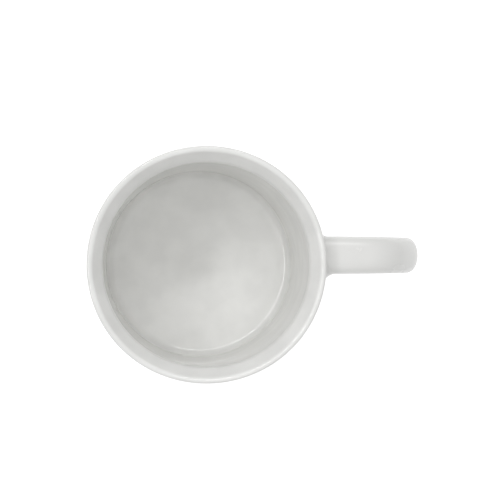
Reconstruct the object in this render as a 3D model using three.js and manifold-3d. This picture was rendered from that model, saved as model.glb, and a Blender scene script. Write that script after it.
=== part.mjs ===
// A ceramic mug: a thrown or cast cup, a strap handle formed apart from it, and the two
// dabs of slip (liquid clay) that bond the handle's ends to the cup's wall before firing.
// Units are millimetres and +Z is up. The mug stands on z = 0, and the origin is the middle
// of its footprint box, so the cup's own axis lies to -X and the handle reaches out to +X.

import * as THREE from 'three';
import { mergeVertices } from 'three/addons/utils/BufferGeometryUtils.js';
import Module from 'manifold-3d';

// ---- cup: driving dimensions ----
const cupDiameter = 85;
const cupHeight = 92;
const wallThickness = 5.7;
const lipEdgeRadius = 1.25; // of the lip's round edge
const lipTaper = 7.5; // height over which the inner face leans out to the thin lip
const lipBendRadius = 7; // where the upright wall turns into that lean
const floorThickness = 5;
const coveRadius = 4; // inside, where the wall turns into the floor
const heelRadius = 6; // outside, where the wall turns in to the foot

// ---- foot ring: driving dimensions ----
const footDiameter = 68;
const footWidth = 4.5; // radial width of the ring that the mug stands on
const footHeight = 1.5; // from the table to the underside of the heel
const recessDepth = 2.5; // from the table to the underside of the floor, inside the ring
const footEdgeRadius = 0.8;

// ---- handle: driving dimensions ----
const handleReach = 37; // from the cup's wall to the outermost face of the handle
const handleWidth = 13.6; // across the strap, along Y
const handleThickness = 8; // through the strap, in the plane of the loop
const handleCornerRadius = 3.7;
const handleTopDrop = 13; // from the rim down to the centre line of the upper arm
const handleFootRise = 22; // from the table up to the centre line of the lower arm
const upperBendRadius = 17; // of the centre line
const lowerBendRadius = 22;
const handleOffset = 3.4; // to one side of the cup's axis, as the hand that stuck it on left it

// ---- slip joints: driving dimensions ----
const slipThickness = 1; // between the cup's wall and the end of the handle
const slipFillet = 3; // of the bead smoothed round the root of the handle
const gap = 0.3; // left between neighbouring pieces so that each stays its own solid

// ---- finish: white porcelain under a clear gloss glaze ----
const porcelainWhite = 0xf4f4f0;
const slipWhite = 0xefeee8;
const glazeRoughness = 0.12;

// ---- fineness of the faceted surfaces ----
const turns = 72; // facets round the cup
const arcSteps = 3; // three.js puts twice this many facets along each arc of an outline
const pathSteps = 44; // along the handle
const filletSteps = 6;
const weldDistance = 1e-4; // vertices closer than this are one

// ---- derived sizes ----
const cupRadius = cupDiameter / 2;
const boreRadius = cupRadius - wallThickness;
const floorTop = recessDepth + floorThickness;
const lipX = cupRadius - lipEdgeRadius; // centre of the lip's round edge
const lipZ = cupHeight - lipEdgeRadius;
const footRadius = footDiameter / 2;
const footBoreRadius = footRadius - footWidth;
const upperArmZ = cupHeight - handleTopDrop;
const lowerArmZ = handleFootRise;
const gripX = cupRadius + handleReach - handleThickness / 2; // centre line of the upright grip
const quarter = Math.PI / 2;

const wasm = await Module();
wasm.setup();

// A closed BufferGeometry as a manifold solid, which can be joined and cut.
function toSolid(geometry) {
  const bare = geometry.index ? geometry.toNonIndexed() : geometry.clone();
  bare.deleteAttribute('normal');
  bare.deleteAttribute('uv');
  const merged = mergeVertices(bare, weldDistance);
  const vertProperties = new Float32Array(merged.attributes.position.array);
  const triVerts = new Uint32Array(merged.index.array);
  return new wasm.Manifold(new wasm.Mesh({ numProp: 3, vertProperties, triVerts }));
}

// A manifold solid as a named mesh with its own glazed finish.
function toMesh(name, solid, color) {
  const { vertProperties, triVerts } = solid.getMesh();
  const geometry = new THREE.BufferGeometry();
  geometry.setAttribute('position', new THREE.BufferAttribute(new Float32Array(vertProperties), 3));
  geometry.setIndex(new THREE.BufferAttribute(new Uint32Array(triVerts), 1));
  geometry.computeVertexNormals();
  const finish = { color, roughness: glazeRoughness, metalness: 0 };
  const mesh = new THREE.Mesh(geometry, new THREE.MeshStandardMaterial(finish));
  mesh.name = name;
  return mesh;
}

// Turns a half outline, given as radius and height, round the cup's axis.
function turned(outline) {
  const geometry = new THREE.LatheGeometry(outline, turns);
  geometry.rotateX(quarter);
  return toSolid(geometry);
}

// The outside of the cup grown by a margin: what cuts a piece to sit against the wall.
function wallCutter(margin) {
  const radius = cupRadius + margin;
  const outline = [
    new THREE.Vector2(0, 0),
    new THREE.Vector2(radius, 0),
    new THREE.Vector2(radius, cupHeight),
    new THREE.Vector2(0, cupHeight),
  ];
  return turned(outline);
}

// How far the inner face leans out below the lip: the angle of the straight that touches both
// the lip's round edge and the bend above the upright wall.
function lipLean() {
  const across = lipX - (boreRadius + lipBendRadius);
  const up = lipZ - (cupHeight - lipTaper);
  const between = Math.atan2(up, -across);
  return between - Math.acos((lipBendRadius - lipEdgeRadius) / Math.hypot(across, up));
}

// Half the cup's section: foot ring, heel, outer wall, lip, inner wall, cove and floor.
function cupOutline() {
  const leanAngle = Math.PI - lipLean();
  const bendX = boreRadius + lipBendRadius;
  const footInnerX = footBoreRadius + footEdgeRadius; // centres of the ring's two rounded edges
  const footOuterX = footRadius - footEdgeRadius;
  const heelX = cupRadius - heelRadius;
  const heelZ = footHeight + heelRadius;
  const outline = new THREE.Path();
  outline.moveTo(0, recessDepth);
  outline.lineTo(footBoreRadius, recessDepth);
  outline.lineTo(footBoreRadius, footEdgeRadius);
  outline.absarc(footInnerX, footEdgeRadius, footEdgeRadius, 2 * quarter, 3 * quarter);
  outline.lineTo(footOuterX, 0);
  outline.absarc(footOuterX, footEdgeRadius, footEdgeRadius, 3 * quarter, 4 * quarter);
  outline.lineTo(footRadius, footHeight);
  outline.lineTo(heelX, footHeight);
  outline.absarc(heelX, heelZ, heelRadius, 3 * quarter, 4 * quarter);
  outline.lineTo(cupRadius, lipZ);
  outline.absarc(lipX, lipZ, lipEdgeRadius, 0, leanAngle);
  outline.absarc(bendX, cupHeight - lipTaper, lipBendRadius, leanAngle, Math.PI);
  outline.lineTo(boreRadius, floorTop + coveRadius);
  outline.absarc(boreRadius - coveRadius, floorTop + coveRadius, coveRadius, 0, -quarter, true);
  outline.lineTo(0, floorTop);
  return outline.getPoints(arcSteps);
}

function makeCup() {
  return toMesh('mug_body', turned(cupOutline()), porcelainWhite);
}

// The strap's section, a rounded rectangle, grown all round by a margin.
function strapSection(margin) {
  const halfThickness = handleThickness / 2 + margin;
  const halfWidth = handleWidth / 2 + margin;
  const radius = handleCornerRadius + margin;
  const x = halfThickness - radius;
  const y = halfWidth - radius;
  const section = new THREE.Shape();
  section.absarc(x, y, radius, 0, quarter);
  section.absarc(-x, y, radius, quarter, 2 * quarter);
  section.absarc(-x, -y, radius, 2 * quarter, 3 * quarter);
  section.absarc(x, -y, radius, 3 * quarter, 4 * quarter);
  section.closePath();
  return section;
}

// The strap's centre line: out of the wall, round the upper bend, down the grip and back in.
class HandleLine extends THREE.Curve {
  constructor() {
    super();
    const inWall = boreRadius;
    const upperX = gripX - upperBendRadius;
    const upperZ = upperArmZ - upperBendRadius;
    const lowerX = gripX - lowerBendRadius;
    const lowerZ = lowerArmZ + lowerBendRadius;
    this.loop = new THREE.Path();
    this.loop.moveTo(inWall, upperArmZ);
    this.loop.lineTo(upperX, upperArmZ);
    this.loop.absarc(upperX, upperZ, upperBendRadius, quarter, 0, true);
    this.loop.lineTo(gripX, lowerZ);
    this.loop.absarc(lowerX, lowerZ, lowerBendRadius, 0, -quarter, true);
    this.loop.lineTo(inWall, lowerArmZ);
  }

  getPoint(t, target = new THREE.Vector3()) {
    const point = this.loop.getPoint(t);
    return target.set(point.x, handleOffset, point.y);
  }
}

// The strap, grown by a margin, with both ends still buried in the cup's wall.
function strap(margin) {
  const settings = {
    steps: pathSteps,
    curveSegments: arcSteps,
    bevelEnabled: false,
    extrudePath: new HandleLine(),
  };
  return toSolid(new THREE.ExtrudeGeometry(strapSection(margin), settings));
}

function makeHandle() {
  const room = gap + slipThickness + gap;
  return toMesh('handle', strap(0).subtract(wallCutter(room)), porcelainWhite);
}

// Joins a stack of equal outlines into one closed solid with flat ends.
function loft(rings) {
  const count = rings[0].length;
  const positions = rings.flat().flatMap((point) => [point.x, point.y, point.z]);
  const index = [];
  for (let ring = 0; ring + 1 < rings.length; ring += 1) {
    for (let i = 0; i < count; i += 1) {
      const a = ring * count + i;
      const b = ring * count + ((i + 1) % count);
      index.push(a, b, a + count, b, b + count, a + count);
    }
  }
  const last = (rings.length - 1) * count;
  for (let i = 1; i + 1 < count; i += 1) {
    index.push(0, i + 1, i);
    index.push(last, last + i, last + i + 1);
  }
  const geometry = new THREE.BufferGeometry();
  geometry.setAttribute('position', new THREE.Float32BufferAttribute(positions, 3));
  geometry.setIndex(index);
  return toSolid(geometry);
}

// The strap's section round one root, grown by a margin and moved out from the round wall.
function ringOnWall(armZ, out, margin) {
  const outline = strapSection(margin).getPoints(arcSteps).slice(0, -1);
  return outline.map((point) => {
    const y = handleOffset + point.y;
    const wallX = Math.sqrt(cupRadius ** 2 - y ** 2);
    return new THREE.Vector3(wallX + out, y, armZ - point.x);
  });
}

// A block round one root of the handle that flares to the wall in a hollow quarter round.
function flaredCollar(armZ) {
  const rings = [ringOnWall(armZ, -wallThickness / 2, slipFillet)];
  for (let step = 0; step <= filletSteps; step += 1) {
    const angle = (step / filletSteps) * quarter;
    const out = slipFillet * (1 - Math.cos(angle));
    rings.push(ringOnWall(armZ, out, slipFillet * (1 - Math.sin(angle))));
  }
  return loft(rings);
}

// The slip under one end of the handle, with the bead that squeezed out smoothed round it.
function makeSlipJoint(name, armZ) {
  const handleRoot = strap(gap).subtract(wallCutter(gap + slipThickness));
  const slip = flaredCollar(armZ).subtract(wallCutter(gap)).subtract(handleRoot);
  return toMesh(name, slip, slipWhite);
}

// Everything is modelled about the cup's axis, then moved so that the origin is the
// middle of the footprint box.
const aboutCupAxis = new THREE.Group();
aboutCupAxis.position.x = -handleReach / 2;
aboutCupAxis.add(makeCup());
aboutCupAxis.add(makeHandle());
aboutCupAxis.add(makeSlipJoint('upper_slip_joint', upperArmZ));
aboutCupAxis.add(makeSlipJoint('lower_slip_joint', lowerArmZ));

const mug = new THREE.Group();
mug.add(aboutCupAxis);

export default mug;
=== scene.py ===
# A white porcelain mug seen from above on a pale table. The sections follow the mug as a
# potter puts it together: cup, handle, slip, then the table, the light and the camera.
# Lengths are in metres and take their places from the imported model.
import math

import bmesh
import bpy
from mathutils import Matrix, Vector, noise


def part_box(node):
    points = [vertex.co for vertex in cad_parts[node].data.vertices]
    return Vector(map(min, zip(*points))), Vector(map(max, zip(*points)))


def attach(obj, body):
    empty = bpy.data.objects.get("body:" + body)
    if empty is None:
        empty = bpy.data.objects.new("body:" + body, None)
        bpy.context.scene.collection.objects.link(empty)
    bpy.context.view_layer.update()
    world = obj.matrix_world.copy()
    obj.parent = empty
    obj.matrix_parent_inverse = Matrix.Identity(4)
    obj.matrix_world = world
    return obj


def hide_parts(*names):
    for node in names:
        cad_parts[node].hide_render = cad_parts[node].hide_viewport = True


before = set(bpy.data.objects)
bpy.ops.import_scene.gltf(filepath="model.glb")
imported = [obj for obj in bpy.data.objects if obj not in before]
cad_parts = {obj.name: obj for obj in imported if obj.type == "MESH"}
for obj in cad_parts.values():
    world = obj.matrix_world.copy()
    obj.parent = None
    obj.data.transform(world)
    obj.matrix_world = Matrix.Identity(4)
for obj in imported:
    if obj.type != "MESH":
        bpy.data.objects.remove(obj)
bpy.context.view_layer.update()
mm = 0.001


# ---- Cup ----
# One thick-walled piece of white porcelain, cast in a plaster mould: straight outside, drawn
# thin at a round lip, with a flat floor, a tight cove and a foot ring. It is dipped in clear
# glaze, and the foot ring is wiped clean so that it doesn't stick to the kiln shelf.
cup_low, cup_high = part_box("mug_body")
cup_x = (cup_low.x + cup_high.x) / 2
cup_radius = (cup_high.x - cup_low.x) / 2
cup_height = cup_high.z
wall = 5.7 * mm
lip_outer = 0.8 * mm  # radius of the lip's outer edge
lip_inner = 1.8 * mm  # and of the broader roll over its inner edge
lip_taper = 7.5 * mm  # height over which the inner face leans out to the lip
lip_bend = 5 * mm  # radius where the upright wall turns into that lean
floor_top = 7.5 * mm
cove_radius = 3.4 * mm
heel_radius = 6 * mm
foot_radius = 34 * mm
foot_width = 4.5 * mm
foot_height = 1.5 * mm
foot_edge = 0.8 * mm
recess_depth = 2.5 * mm
recess_cove = 1.2 * mm
heel_crease = 0.24 * mm  # radius of the corner where the foot ring meets the heel
bare_height = 0.5 * mm  # the wiped part of the foot ring
facet = 0.6 * mm  # largest gap between rings of the outline
cup_ease = 2  # how many of those gaps each way the inner face is eased over
cup_sides = 240
rim_warp = 0.45 * mm  # the firing pulls the rim a little oval, longer in line with the handle
glaze_wave = 0.002 * mm  # depth of the soft ripple left by the dipped glaze
glaze_wave_length = 13 * mm


def arc(x, z, radius, start, end, steps):
    """Points along a round stretch of an outline, from one angle in degrees to another."""
    angles = [math.radians(start + (end - start) * i / steps) for i in range(steps + 1)]
    return [Vector((x + radius * math.cos(a), z + radius * math.sin(a))) for a in angles]


def refine(points, gap):
    """The same line with more points, so that no two neighbours are further apart than gap."""
    fine = [points[0]]
    for a, b in zip(points, points[1:]):
        count = max(1, math.ceil((b - a).length / gap))
        fine += [a.lerp(b, i / count) for i in range(1, count + 1)]
    return fine


def eased(points, reach, inside):
    """The same line with each point on the cup's inner face averaged with its neighbours, so
    that straights run into bends with no hard start."""
    smooth = list(points)
    first = max(i for i, p in enumerate(points) if p.x > inside) + 1
    for i in range(first, len(points) - reach):
        near = points[i - reach : i + reach + 1]
        smooth[i] = sum(near, Vector((0, 0))) / len(near)
    return smooth


def lip_lean():
    """How far the inner face leans out below the lip, in degrees: the straight that touches
    both the lip's inner roll and the bend above the upright wall."""
    across = wall - lip_outer - lip_bend
    up = lip_taper - lip_inner
    between = math.atan2(up, -across)
    return math.degrees(between - math.acos((lip_bend - lip_inner) / math.hypot(across, up)))


def cup_outline():
    """Half the cup's section, from the middle of the recess round to the middle of the floor."""
    bore = cup_radius - wall
    crest = cup_radius - lip_outer
    lean = lip_lean()
    foot_bore = foot_radius - foot_width
    heel_x = cup_radius - heel_radius
    outline = [Vector((0, recess_depth))]
    outline += arc(foot_bore - recess_cove, recess_depth - recess_cove, recess_cove, 90, 0, 6)
    outline += arc(foot_bore + foot_edge, foot_edge, foot_edge, 180, 270, 8)
    outline += arc(foot_radius - foot_edge, foot_edge, foot_edge, 270, 360, 8)
    outline += arc(foot_radius + foot_edge, foot_height - heel_crease, heel_crease, 180, 90, 3)
    outline += arc(heel_x, foot_height + heel_radius, heel_radius, 270, 360, 20)
    outline += arc(crest, cup_height - lip_outer, lip_outer, 0, 90, 10)
    outline += arc(crest, cup_height - lip_inner, lip_inner, 90, 180 - lean, 10)
    outline += arc(bore + lip_bend, cup_height - lip_taper, lip_bend, 180 - lean, 180, 12)
    outline += arc(bore - cove_radius, floor_top + cove_radius, cove_radius, 360, 270, 16)
    outline.append(Vector((0, floor_top)))
    return eased(refine(outline, facet), cup_ease, crest - lip_inner)


def warped(radius, angle, z):
    """A point of the cup after firing: the rim a touch oval and the glaze softly rippled. The
    ripple is square to the floor and to the upright wall, and dies out towards the lip."""
    rise = max(0, z / cup_height) ** 2
    squeeze = rim_warp * rise * math.sin(angle) ** 2 * radius / cup_radius
    x = radius * math.cos(angle)
    y = (radius - squeeze) * math.sin(angle)
    ripple = glaze_wave * noise.noise(Vector((x, y, z)) / glaze_wave_length)
    inside = radius < cup_radius - lip_outer and z > floor_top - recess_depth
    if inside:
        calm = min(1, (cup_height - z) / lip_taper)
        upright = min(1, max(0, z - floor_top) / cove_radius)
        x += ripple * calm * upright * math.cos(angle)
        y += ripple * calm * upright * math.sin(angle)
        z += ripple * calm * (1 - upright)
    return Vector((cup_x + x, y, z))


def finished(name, bm, *materials):
    """The bmesh as a smooth object with its materials."""
    bmesh.ops.recalc_face_normals(bm, faces=bm.faces)
    for face in bm.faces:
        face.smooth = True
    mesh = bpy.data.meshes.new(name)
    bm.to_mesh(mesh)
    bm.free()
    for material in materials:
        mesh.materials.append(material)
    piece = bpy.data.objects.new(name, mesh)
    bpy.context.scene.collection.objects.link(piece)
    return piece


def turn_cup(outline):
    """Turns the half section round the cup's axis, with one vertex at each pole."""
    bm = bmesh.new()
    first = bm.verts.new(warped(0, 0, outline[0].y))
    last = bm.verts.new(warped(0, 0, outline[-1].y))
    rings = []
    for point in outline[1:-1]:
        angles = [math.tau * i / cup_sides for i in range(cup_sides)]
        rings.append([bm.verts.new(warped(point.x, a, point.y)) for a in angles])
    for i in range(cup_sides):
        j = (i + 1) % cup_sides
        bm.faces.new((first, rings[0][i], rings[0][j]))
        bm.faces.new((last, rings[-1][j], rings[-1][i]))
        for low, high in zip(rings, rings[1:]):
            face = bm.faces.new((low[i], low[j], high[j], high[i]))
            face.material_index = int(face.calc_center_median().z < bare_height)
    return bm


def from_hex(code):
    """An sRGB hex colour as linear RGBA."""
    channels = [int(code[i : i + 2], 16) / 255 for i in (0, 2, 4)]
    linear = [c / 12.92 if c <= 0.04045 else ((c + 0.055) / 1.055) ** 2.4 for c in channels]
    return (*linear, 1.0)


def add_node(tree, kind, inputs, **settings):
    """Adds a node, sets its properties, and fills or links its inputs."""
    node = tree.nodes.new(kind)
    for name, value in settings.items():
        setattr(node, name, value)
    for socket, value in inputs.items():
        if isinstance(value, bpy.types.NodeSocket):
            tree.links.new(value, node.inputs[socket])
        else:
            node.inputs[socket].default_value = value
    return node


def new_material(name):
    """An empty node material and its tree."""
    material = bpy.data.materials.new(name)
    material.use_nodes = True
    material.node_tree.nodes.clear()
    return material, material.node_tree


def glazed_porcelain(name, polish, thin_hex, thick_hex, painted_lit_inside=None):
    """Clear gloss glaze over white porcelain: a smooth wet-looking coat, mirror-like at a low
    angle. Polish is its roughness at the glassiest and at the dullest. Where it runs thick it is
    a shade greyer, where thin it is whiter. The last argument, if given, is a whiter thin and
    thick colour painted inside the cup and over the lip: painted light, not a glaze of its own."""
    pool_width = 9 * mm  # across one soft patch of thicker glaze
    peel_width = 1.6 * mm  # orange peel, drawn coarser than the real 0.5 mm so that it shows
    peel_depth = 0.0015 * mm
    haze = 0.3  # plain scattering mixed in, so that denoising draws no false edges on the wall
    glaze_index = 1.8  # above a real glaze's 1.5, to make up for the shine that the haze takes
    material, tree = new_material(name)
    place = add_node(tree, "ShaderNodeTexCoord", {})
    pools = add_node(
        tree, "ShaderNodeTexNoise",
        {"Vector": place.outputs["Object"], "Scale": 1 / pool_width, "Detail": 3, "Roughness": 0.45},
    )
    depth = add_node(
        tree, "ShaderNodeMapRange",
        {"Value": pools.outputs["Fac"], "From Min": 0.36, "From Max": 0.64},
    )
    tint = add_node(
        tree, "ShaderNodeMix",
        {"Factor": depth.outputs["Result"], "A": from_hex(thin_hex), "B": from_hex(thick_hex)},
        data_type="RGBA",
    )
    colour = tint.outputs["Result"]
    # Painted light: inside the cup and over the lip the colour turns whiter, standing in for the lip's
    # sheen and the brighter inside.
    if painted_lit_inside:
        painted_lit_tint = add_node(
            tree, "ShaderNodeMix",
            {"Factor": depth.outputs["Result"], "A": from_hex(painted_lit_inside[0]), "B": from_hex(painted_lit_inside[1])},
            data_type="RGBA",
        )
        spot = add_node(
            tree, "ShaderNodeVectorMath",
            {0: place.outputs["Object"], 1: (-cup_x, 0, 0)},
            operation="ADD",
        )
        plan = add_node(
            tree, "ShaderNodeVectorMath",
            {0: spot.outputs["Vector"], 1: (1, 1, 0)},
            operation="MULTIPLY",
        )
        from_axis = add_node(
            tree, "ShaderNodeVectorMath",
            {0: plan.outputs["Vector"]},
            operation="LENGTH",
        )
        # Mask of that painted light: none at the outer wall, full from 2 mm further in, so the inside, the
        # lip's inner roll and the underside take the whiter colour.
        painted_lit_mask = add_node(
            tree, "ShaderNodeMapRange",
            {"Value": from_axis.outputs["Value"], "From Min": cup_radius, "From Max": cup_radius - 2 * mm},
        )
        painted_lit_colour = add_node(
            tree, "ShaderNodeMix",
            {"Factor": painted_lit_mask.outputs["Result"], "A": colour, "B": painted_lit_tint.outputs["Result"]},
            data_type="RGBA",
        )
        colour = painted_lit_colour.outputs["Result"]
    shine = add_node(
        tree, "ShaderNodeMapRange",
        {"Value": pools.outputs["Fac"], "From Min": 0.3, "From Max": 0.7,
         "To Min": polish[0], "To Max": polish[1]},
    )
    peel = add_node(
        tree, "ShaderNodeTexNoise",
        {"Vector": place.outputs["Object"], "Scale": 1 / peel_width, "Detail": 1},
    )
    bump = add_node(
        tree, "ShaderNodeBump",
        {"Height": peel.outputs["Fac"], "Strength": 0.5, "Distance": peel_depth},
    )
    glaze = add_node(
        tree, "ShaderNodeBsdfPrincipled",
        {"Base Color": colour, "Roughness": shine.outputs["Result"],
         "IOR": glaze_index, "Normal": bump.outputs["Normal"]},
    )
    body = add_node(tree, "ShaderNodeBsdfDiffuse", {"Color": colour, "Normal": bump.outputs["Normal"]})
    coated = add_node(
        tree, "ShaderNodeMixShader",
        {0: haze, 1: glaze.outputs["BSDF"], 2: body.outputs["BSDF"]},
    )
    add_node(tree, "ShaderNodeOutputMaterial", {"Surface": coated.outputs["Shader"]})
    return material


def bare_porcelain(name):
    """Fired porcelain with no glaze: dry, matt and faintly warm, like fine paper to the touch."""
    grain = 0.35 * mm
    material, tree = new_material(name)
    place = add_node(tree, "ShaderNodeTexCoord", {})
    grit = add_node(
        tree, "ShaderNodeTexNoise",
        {"Vector": place.outputs["Object"], "Scale": 1 / grain, "Detail": 4},
    )
    tint = add_node(
        tree, "ShaderNodeMix",
        {"Factor": grit.outputs["Fac"], "A": from_hex("E2DDD2"), "B": from_hex("EDE9E0")},
        data_type="RGBA",
    )
    bump = add_node(
        tree, "ShaderNodeBump",
        {"Height": grit.outputs["Fac"], "Strength": 0.6, "Distance": 0.03 * mm},
    )
    clay = add_node(
        tree, "ShaderNodeBsdfPrincipled",
        {"Base Color": tint.outputs["Result"], "Roughness": 0.75, "IOR": 1.5,
         "Normal": bump.outputs["Normal"]},
    )
    add_node(tree, "ShaderNodeOutputMaterial", {"Surface": clay.outputs["BSDF"]})
    return material


outside_thin = "E9E9E7"
outside_thick = "E7E7E5"
# Whiter colour painted inside and over the lip: painted light, not a glaze of its own.
painted_lit_inside_hex = ("FAFAF8", "F4F4F2")
cup_polish = (0.02, 0.05)
cup_glaze = glazed_porcelain(
    "Glazed_white_porcelain_cup", cup_polish, outside_thin, outside_thick, painted_lit_inside_hex,
)
foot_clay = bare_porcelain("Bare_fired_porcelain_foot_ring")
cup = finished("cup", turn_cup(cup_outline()), cup_glaze, foot_clay)
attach(cup, "root")
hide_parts("mug_body")


# ---- Handle ----
# A strap of the same porcelain, cast apart from the cup in a mould of its own. Its section is a
# soft rounded rectangle. It leaves the wall level, bends down to an upright grip and comes back.
grip_low, grip_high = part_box("handle")
strap_thickness = 8 * mm
strap_width = grip_high.y - grip_low.y
strap_y = (grip_low.y + grip_high.y) / 2
arm_corner = 3.2  # power of the rounded section along the arms: 2 is an ellipse, more is squarer
grip_corner = 2  # and of the softer section round the upright grip
grip_narrowing = 0.7 * mm  # the strap is drawn this much narrower at the grip
upper_bend = 17 * mm
lower_bend = 22 * mm
upper_arm_z = grip_high.z - strap_thickness / 2
lower_arm_z = grip_low.z + strap_thickness / 2
grip_x = grip_high.x - strap_thickness / 2
strap_burial = 1.5 * mm  # how deep its ends are buried in the wall
strap_root_x = cup_x + cup_radius - strap_burial
strap_step = 0.8 * mm
strap_sides = 56
ease = 4  # how many steps each way the bends are eased into the straights


def strap_line():
    """The strap's centre line in the plane of the loop, from the upper end to the lower."""
    line = [Vector((strap_root_x, upper_arm_z))]
    line += arc(grip_x - upper_bend, upper_arm_z - upper_bend, upper_bend, 90, 0, 40)
    line += arc(grip_x - lower_bend, lower_arm_z + lower_bend, lower_bend, 0, -90, 50)
    line.append(Vector((strap_root_x, lower_arm_z)))
    line = refine(line, strap_step)
    eased = list(line)
    for i in range(ease, len(line) - ease):
        near = line[i - ease : i + ease + 1]
        eased[i] = sum(near, Vector((0, 0))) / len(near)
    return eased


def strap_section(angle, grow=0.0, softness=0.0):
    """A point of the strap's rounded section: how far through the strap, and how far across.
    Softness goes from 0 in the arms to 1 in the grip."""
    power = 2 / (arm_corner + (grip_corner - arm_corner) * softness)
    c, s = math.cos(angle), math.sin(angle)
    half_width = (strap_width - grip_narrowing * softness) / 2
    through = (strap_thickness / 2 + grow) * math.copysign(abs(c) ** power, c)
    across = (half_width + grow) * math.copysign(abs(s) ** power, s)
    return through, across


def skin(bm, rings):
    """Joins a row of equal rings of vertices into a tube and closes both its ends."""
    count = len(rings[0])
    for low, high in zip(rings, rings[1:]):
        for i in range(count):
            j = (i + 1) % count
            bm.faces.new((low[i], low[j], high[j], high[i]))
    bm.faces.new(rings[0])
    bm.faces.new(list(reversed(rings[-1])))


def sweep_strap():
    """Carries the section along the centre line."""
    line = strap_line()
    bm = bmesh.new()
    rings = []
    for i, point in enumerate(line):
        ahead = line[min(i + 1, len(line) - 1)] - line[max(i - 1, 0)]
        ahead.normalize()
        outward = Vector((-ahead.y, ahead.x))
        reach = (point.x - strap_root_x) / (grip_x - strap_root_x)
        ring = []
        for k in range(strap_sides):
            through, across = strap_section(math.tau * k / strap_sides, softness=reach**2)
            spot = point + outward * through
            ring.append(bm.verts.new((spot.x, strap_y + across, spot.y)))
        rings.append(ring)
    skin(bm, rings)
    return bm


strap_polish = (0.2, 0.28)  # a broader, softer shine than the cup's
handle_glaze = glazed_porcelain(
    "Glazed_white_porcelain_handle", strap_polish, outside_thin, outside_thick,
)
handle = finished("strap_handle", sweep_strap(), handle_glaze)
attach(handle, "root")
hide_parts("handle")


# ---- Slip joints ----
# Each end of the handle is scored, wetted with slip and pressed on to the leather-hard wall. The
# slip that squeezes out is smoothed into a hollow bead all round, and the glaze covers it.
bead_face = 1 * mm  # radius of the hollow above and below the strap
bead_left = 3.2 * mm  # on its +Y side
bead_right = 5 * mm  # and on its -Y side, where it flares further
bead_steps = 14
bead_burial = 1 * mm  # how far the bead's closed ends run on inside the wall and the strap
bead_sink = 0.06 * mm  # the bead's edges dip under the wall and the strap, so no seam shows


def smooth_bead(name, arm_z, glaze):
    """The bead round one end of the strap: a block in the wall that flares down to the strap."""
    bm = bmesh.new()
    rings = []
    for step in range(-1, bead_steps + 2):
        turn = math.radians(90) * min(max(step, 0), bead_steps) / bead_steps
        ring = []
        for k in range(strap_sides):
            angle = math.tau * k / strap_sides
            side = bead_left if math.sin(angle) > 0 else bead_right
            hollow = bead_face + (side - bead_face) * math.sin(angle) ** 2
            out = hollow * (1 - math.cos(turn)) - bead_sink
            grow = hollow * (1 - math.sin(turn)) - bead_sink
            if step < 0:
                out -= bead_burial
            if step > bead_steps:
                grow -= bead_burial
            through, across = strap_section(angle, grow)
            y = strap_y + across
            wall_x = cup_x + math.sqrt(cup_radius**2 - y**2)
            ring.append(bm.verts.new((wall_x + out, y, arm_z + through)))
        rings.append(ring)
    skin(bm, rings)
    return finished(name, bm, glaze)


slip_glaze = glazed_porcelain("Glazed_white_slip", strap_polish, outside_thin, outside_thick)
for name, arm_z in (("upper_slip", upper_arm_z), ("lower_slip", lower_arm_z)):
    bead = smooth_bead(name + "_bead", arm_z, slip_glaze)
    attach(bead, "root")
    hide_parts(name + "_joint")


# ---- Table ----
# A wide matt white board that the mug stands on, lit from under its face so that it looks pure
# white and carries no shadow. It isn't part of the mug.
board_radius = 4.0
board_rings = 24
board_sides = 96
board_glow = 0.76  # strength of its own light


def white_board():
    """A round board, finer towards the middle where the mug stands."""
    bm = bmesh.new()
    middle = bm.verts.new((0, 0, 0))
    rings = []
    for ring in range(1, board_rings + 1):
        radius = board_radius * (ring / board_rings) ** 2
        angles = [math.tau * i / board_sides for i in range(board_sides)]
        rings.append([bm.verts.new((radius * math.cos(a), radius * math.sin(a), 0)) for a in angles])
    for i in range(board_sides):
        j = (i + 1) % board_sides
        bm.faces.new((middle, rings[0][i], rings[0][j]))
        for low, high in zip(rings, rings[1:]):
            bm.faces.new((low[i], low[j], high[j], high[i]))
    return bm


def matt_laminate(name):
    """White melamine laminate: flat, slightly chalky, with a barely visible fleck."""
    fleck_width = 2 * mm
    material, tree = new_material(name)
    place = add_node(tree, "ShaderNodeTexCoord", {})
    fleck = add_node(
        tree, "ShaderNodeTexNoise",
        {"Vector": place.outputs["Object"], "Scale": 1 / fleck_width, "Detail": 2},
    )
    tint = add_node(
        tree, "ShaderNodeMix",
        {"Factor": fleck.outputs["Fac"], "A": from_hex("B8B8B8"), "B": from_hex("BEBEBE")},
        data_type="RGBA",
    )
    board = add_node(
        tree, "ShaderNodeBsdfPrincipled",
        {"Base Color": tint.outputs["Result"], "Roughness": 0.7, "IOR": 1.45,
         "Emission Color": from_hex("FFFFFF"), "Emission Strength": board_glow},
    )
    add_node(tree, "ShaderNodeOutputMaterial", {"Surface": board.outputs["BSDF"]})
    return material


table = finished("table", white_board(), matt_laminate("White_matt_laminate_table"))


# ---- Light ----
# A pale studio: a soft surround, brightest overhead, and a bow of softboxes high up, from
# behind the mug round to its left, that lights the opposite half of the cup's inside.
key_azimuth = 134  # of the bow's middle, in degrees from +X towards +Y
key_elevation = 61
key_distance = 1.0
key_spread = 133  # degrees of azimuth from one end of the bow to the other
key_boxes = 5
key_height = 0.09
key_power = 2.85
overhead_strength = 1.2
horizon_strength = 0.36
overhead_focus = 4  # power of the fall from the zenith to the horizon


def aimed(direction, up):
    """The rotation that looks along a direction, with its own +Y as near up as it can be."""
    forward = direction.normalized()
    right = forward.cross(up).normalized()
    return Matrix((right, right.cross(forward), -forward)).transposed()


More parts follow.
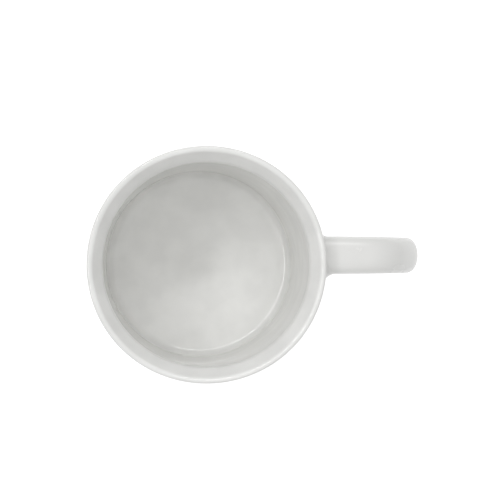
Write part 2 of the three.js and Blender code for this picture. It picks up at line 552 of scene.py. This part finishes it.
def softbox(name, azimuth, elevation, distance, length, height, power):
    """A long area light aimed at the middle of the cup, with its long side level."""
    lamp = bpy.data.lights.new(name, "AREA")
    lamp.shape = "RECTANGLE"
    lamp.size = length
    lamp.size_y = height
    lamp.energy = power
    target = Vector((cup_x, 0, cup_height / 2))
    a, e = math.radians(azimuth), math.radians(elevation)
    back = Vector((math.cos(a) * math.cos(e), math.sin(a) * math.cos(e), math.sin(e)))
    holder = bpy.data.objects.new(name, lamp)
    bpy.context.scene.collection.objects.link(holder)
    turned = aimed(-back, Vector((0, 0, 1))).to_4x4()
    holder.matrix_world = Matrix.Translation(target + back * distance) @ turned
    return holder


key_turn = key_spread / key_boxes
key_length = key_distance * math.cos(math.radians(key_elevation)) * math.radians(key_turn)
for box in range(key_boxes):
    azimuth = key_azimuth + key_turn * (box - (key_boxes - 1) / 2)
    name = f"key_softbox_{box + 1}"
    softbox(name, azimuth, key_elevation, key_distance, key_length, key_height, key_power / key_boxes)
world = bpy.data.worlds.new("pale_studio")
world.use_nodes = True
studio = world.node_tree
studio.nodes.clear()
direction = add_node(studio, "ShaderNodeTexCoord", {})
upward = add_node(studio, "ShaderNodeSeparateXYZ", {"Vector": direction.outputs["Generated"]})
above = add_node(studio, "ShaderNodeMath", {0: upward.outputs["Z"], 1: 0.0}, operation="MAXIMUM")
focus = add_node(studio, "ShaderNodeMath", {0: above.outputs[0], 1: overhead_focus}, operation="POWER")
glow = add_node(
    studio, "ShaderNodeMapRange",
    {"Value": focus.outputs[0], "From Min": 0, "From Max": 1,
     "To Min": horizon_strength, "To Max": overhead_strength},
)
surround = add_node(
    studio, "ShaderNodeBackground",
    {"Color": from_hex("FFFFFF"), "Strength": glow.outputs["Result"]},
)
add_node(studio, "ShaderNodeOutputWorld", {"Surface": surround.outputs["Background"]})
bpy.context.scene.world = world
bpy.context.scene.view_settings.view_transform = "Standard"


# ---- Camera ----
# A long lens about two thirds of a metre above the rim and a little left of the cup, looking
# down at the middle of the mug and its handle.
view_height = 640 * mm  # above the rim
view_x = cup_x - 25 * mm
view_y = 2 * mm
aim = Vector((cup_x + 15.2 * mm, 5.2 * mm, cup_height))
lens = 130.5

camera = bpy.data.cameras.new("overhead")
camera.lens = lens
camera.sensor_width = 36
eye = Vector((view_x, view_y, cup_height + view_height))
stand = bpy.data.objects.new("overhead", camera)
bpy.context.scene.collection.objects.link(stand)
stand.matrix_world = Matrix.Translation(eye) @ aimed(aim - eye, Vector((0, 1, 0))).to_4x4()
bpy.context.scene.camera = stand
